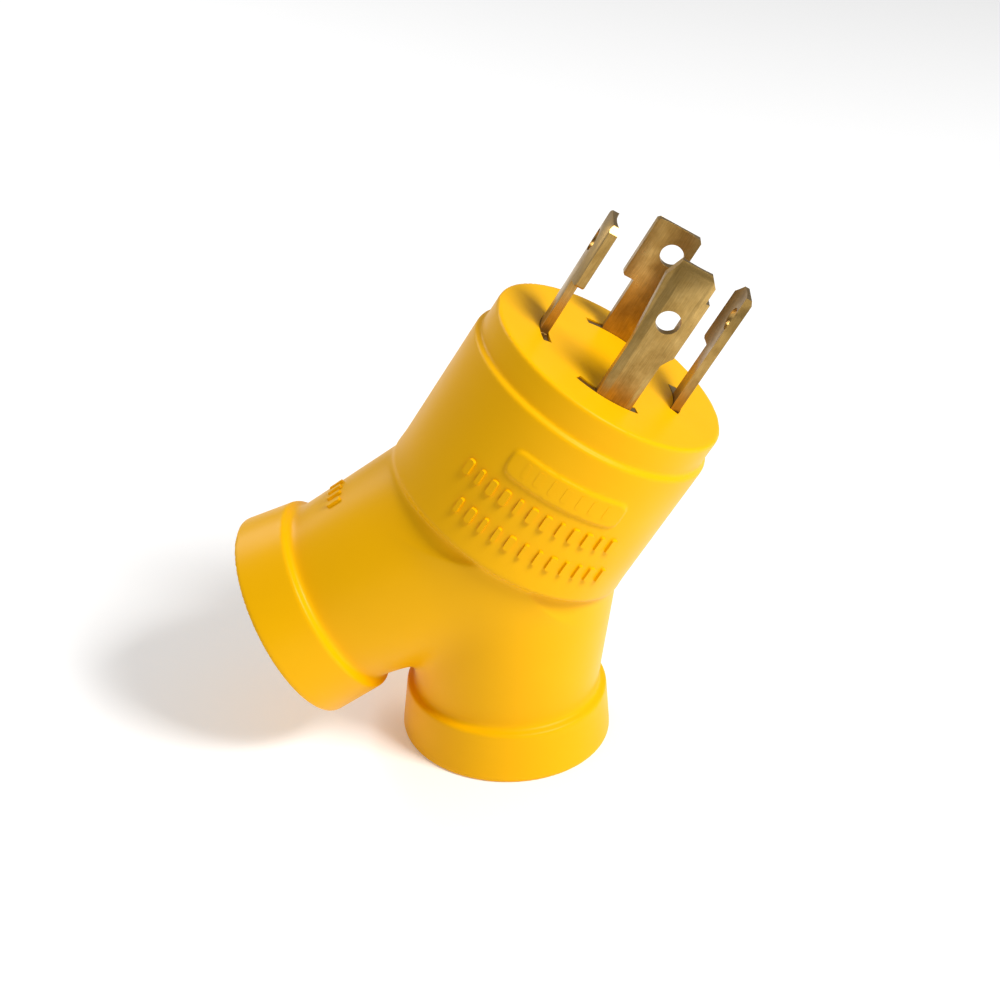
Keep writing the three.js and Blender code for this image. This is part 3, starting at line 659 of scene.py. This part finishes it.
HEAD_BARS = (bar_row(7, 2.6, 0, 19.8, (1.0, 1.5)) + bar_row(12, 2.7, -1.5, 13.4, (1.5, 1.0, 1.5))
             + bar_row(12, 2.7, 0.8, 6.8, (1.0, 1.5, 1.0)))
LEG_BARS = bar_row(4, 2.4, 0, 25.5, (1.2, 1.0))
print("bars", len(HEAD_BARS), "on the head and", len(LEG_BARS), "on leg A")


# %% The bars' tree
def bar_tree(radius_base, taper, frame_matrix, finish):
    """Wraps flat rows of bars, given as points with a width, round a section's axis."""
    tree = bpy.data.node_groups.new("raised_bars", "GeometryNodeTree")
    tree.interface.new_socket("Geometry", in_out="INPUT", socket_type="NodeSocketGeometry")
    tree.interface.new_socket("Geometry", in_out="OUTPUT", socket_type="NodeSocketGeometry")
    for name, value in (("Bar Width", 0.95 * MM), ("Bar Height", 3.3 * MM), ("Radius", radius_base)):
        tree.interface.new_socket(name, in_out="INPUT", socket_type="NodeSocketFloat").default_value = value
    source = add_node(tree, "NodeGroupInput").outputs
    outline = add_node(tree, "GeometryNodeCurvePrimitiveQuadrilateral", {
        "Width": source["Bar Width"], "Height": source["Bar Height"]})
    rounded = add_node(tree, "GeometryNodeFilletCurve", {
        "Curve": outline.outputs[0], "Radius": BAR_CORNER * MM, "Count": 3}, mode="POLY")
    blank = add_node(tree, "GeometryNodeFillCurve", {"Curve": rounded.outputs[0]}, mode="NGONS")
    rise = add_node(tree, "GeometryNodeExtrudeMesh", {
        "Mesh": blank.outputs[0], "Offset": (0, 0, 1), "Offset Scale": (BAR_RISE + BAR_SINK) * MM,
        "Individual": False})
    draft = add_node(tree, "GeometryNodeScaleElements", {
        "Geometry": rise.outputs["Mesh"], "Selection": rise.outputs["Top"], "Scale": BAR_DRAFT})
    base = add_node(tree, "GeometryNodeFlipFaces", {"Mesh": blank.outputs[0]})
    bar = add_node(tree, "GeometryNodeJoinGeometry")
    tree.links.new(draft.outputs[0], bar.inputs[0])
    tree.links.new(base.outputs[0], bar.inputs[0])
    closed = add_node(tree, "GeometryNodeMergeByDistance", {"Geometry": bar.outputs[0], "Distance": 0.01 * MM})
    width = add_node(tree, "GeometryNodeInputNamedAttribute", {"Name": "width"}, data_type="FLOAT")
    scale = add_node(tree, "ShaderNodeCombineXYZ", {"X": width.outputs[0], "Y": 1.0, "Z": 1.0})
    copies = add_node(tree, "GeometryNodeInstanceOnPoints", {
        "Points": source["Geometry"], "Instance": closed.outputs[0], "Scale": scale.outputs[0]})
    real = add_node(tree, "GeometryNodeRealizeInstances", {"Geometry": copies.outputs[0]})

    position = add_node(tree, "GeometryNodeInputPosition").outputs[0]
    arc, along, height = add_node(tree, "ShaderNodeSeparateXYZ", {"Vector": position}).outputs
    angle = add_node(tree, "ShaderNodeMath", {0: arc, 1: source["Radius"]}, operation="DIVIDE").outputs[0]
    shrink = add_node(tree, "ShaderNodeMath", {0: along, 1: -taper}, operation="MULTIPLY").outputs[0]
    floor = add_node(tree, "ShaderNodeMath", {
        0: source["Radius"], 1: BAR_SINK * MM}, operation="SUBTRACT").outputs[0]
    reach = add_node(tree, "ShaderNodeMath", {0: floor, 1: height}, operation="ADD").outputs[0]
    reach = add_node(tree, "ShaderNodeMath", {0: reach, 1: shrink}, operation="ADD").outputs[0]
    # Arcs grow towards -X here: swapping height and length turns a bar inside out, and this turns it back.
    back_turn = add_node(tree, "ShaderNodeMath", {0: angle, 1: -1.0}, operation="MULTIPLY").outputs[0]
    directions = []
    for operation in ("SINE", "COSINE"):
        turn = add_node(tree, "ShaderNodeMath", {0: back_turn}, operation=operation).outputs[0]
        directions.append(add_node(tree, "ShaderNodeMath", {0: turn, 1: reach}, operation="MULTIPLY").outputs[0])
    wrapped = add_node(tree, "ShaderNodeCombineXYZ", {"X": directions[0], "Y": directions[1], "Z": along})
    settled = add_node(tree, "GeometryNodeSetPosition", {"Geometry": real.outputs[0], "Position": wrapped.outputs[0]})
    placed = add_node(tree, "GeometryNodeTransform", {
        "Geometry": settled.outputs[0], "Translation": frame_matrix.translation,
        "Rotation": frame_matrix.to_euler()})
    painted = add_node(tree, "GeometryNodeSetMaterial", {"Geometry": placed.outputs[0], "Material": finish})
    add_node(tree, "NodeGroupOutput", {0: painted.outputs[0]})
    return tree


def bar_points(name, rows):
    """A point for each bar, with its width as an attribute."""
    mesh = bpy.data.meshes.new(name)
    mesh.from_pydata([(arc * MM, along * MM, 0) for arc, along, _ in rows], [], [])
    widths = mesh.attributes.new("width", "FLOAT", "POINT")
    widths.data.foreach_set("value", [width for _, _, width in rows])
    return mesh


print("bar tree ready")

# %% Make the bars
def section_matrix(sideways, outwards, axis):
    """A section's frame at the junction: +Y faces the middle of its bars, and +Z runs along its axis."""
    return Matrix.Translation(junction) @ Matrix((sideways, outwards, axis)).transposed().to_4x4()


front_of_head = section_matrix(-back.cross(plug_axis), -back, plug_axis)
head_tree = bar_tree(JACKET_SIZES["Head Radius"], 0.0, front_of_head, yellow_pvc)
head_bars = made_by_tree("head_bars", head_tree, base=bar_points("head_points", HEAD_BARS))

leg_up = back.cross(leg_axes["a"])
top_of_leg = section_matrix(leg_up.cross(leg_axes["a"]), leg_up, leg_axes["a"])
leg_root = JACKET_SIZES["Leg Root Radius"]
leg_taper = (leg_root - JACKET_SIZES["Leg Neck Radius"]) / (LEG_LENGTH - JACKET_SIZES["Cap Height"])
leg_tree = bar_tree(leg_root, leg_taper, top_of_leg, yellow_pvc)
leg_bars = made_by_tree("leg_bars", leg_tree, base=bar_points("leg_points", LEG_BARS))
print("bar faces", len(head_bars.data.polygons), len(leg_bars.data.polygons))

# %% [markdown]
# ## What rides on what, and what stands for what
# The adapter has no joints, so everything rides on the root. The new jacket, blades and outlet faces stand for
# their plain CAD solids. Everything sealed inside keeps its CAD shape and gets the right finish.

# %% Ride, replace and paint
root = "root"
made = {
    jacket: ("overmould_jacket", "jacket_pvc"),
    **{blades[name]: (name + "_blade", "blade_brass") for name in blades},
    **{outlets[leg]: (f"outlet_{leg}_front_carrier", "outlet_nylon") for leg in outlets},
    head_bars: (None, "jacket_pvc"),
    leg_bars: (None, "jacket_pvc"),
}
for piece, (node, slot) in made.items():
    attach(piece, root)
    if node:
        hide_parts(node)

slot_finish = {
    "jacket_pvc": yellow_pvc,
    "outlet_nylon": yellow_nylon,
    "insert_nylon": natural_nylon,
    "premould_pvc": grey_pvc,
    "blade_brass": blade_brass,
    "contact_brass": contact_brass,
    "wire_copper": wire_copper,
    **{f"insulation_{name}": finish for name, finish in wire_pvc.items()},
}
node_slots = {entry["node"]: entry["material_slot"] for entry in frame["record"]["subparts"]}
for node, piece in frame["nodes"].items():
    if not piece.material_slots:
        piece.data.materials.append(None)
    for holder in piece.material_slots:
        holder.material = slot_finish[node_slots[node]]
print("painted", len(node_slots), "nodes")

# %% [markdown]
# ## Floor and light
# A pale sweep, a soft key high on the right, a weaker one from the back left that draws the edges, and an even
# surround. The floor is nearly white and glows a little, so it stays white round the shadows and fills the underside.


# %% Floor and lights
def soft_light(name, place, aim, size, power):
    """A square area light at a place, turned to an aim."""
    light = bpy.data.lights.new(name, "AREA")
    light.size = size
    light.energy = power
    holder = bpy.data.objects.new(name, light)
    holder.location = place
    holder.rotation_euler = (Vector(aim) - Vector(place)).to_track_quat("-Z", "Y").to_euler()
    bpy.context.scene.collection.objects.link(holder)


floor_mesh = bpy.data.meshes.new("floor")
floor_mesh.from_pydata([(-3, -3, 0), (3, -3, 0), (3, 3, 0), (-3, 3, 0)], [], [(0, 1, 2, 3)])
floor = bpy.data.objects.new("floor", floor_mesh)
bpy.context.scene.collection.objects.link(floor)
pale = bpy.data.materials.new("pale_sweep")
pale.use_nodes = True
sweep = pale.node_tree.nodes["Principled BSDF"].inputs
sweep["Base Color"].default_value = linear("f7f7f7")
sweep["Roughness"].default_value = 0.7
sweep["Emission Color"].default_value = (1, 1, 1, 1)
sweep["Emission Strength"].default_value = 0.15
floor.data.materials.append(pale)

world = bpy.data.worlds.new("surround")
world.use_nodes = True
surround = world.node_tree.nodes["Background"].inputs
surround["Color"].default_value = (1, 1, 1, 1)
surround["Strength"].default_value = 0.32
bpy.context.scene.world = world
bpy.context.scene.view_settings.view_transform = "Standard"

middle = (0, 0, 0.05)
soft_light("key", (0.46, -0.26, 0.58), middle, 0.24, 5.8)
soft_light("edge", (-0.45, 0.4, 0.4), middle, 0.3, 1.9)
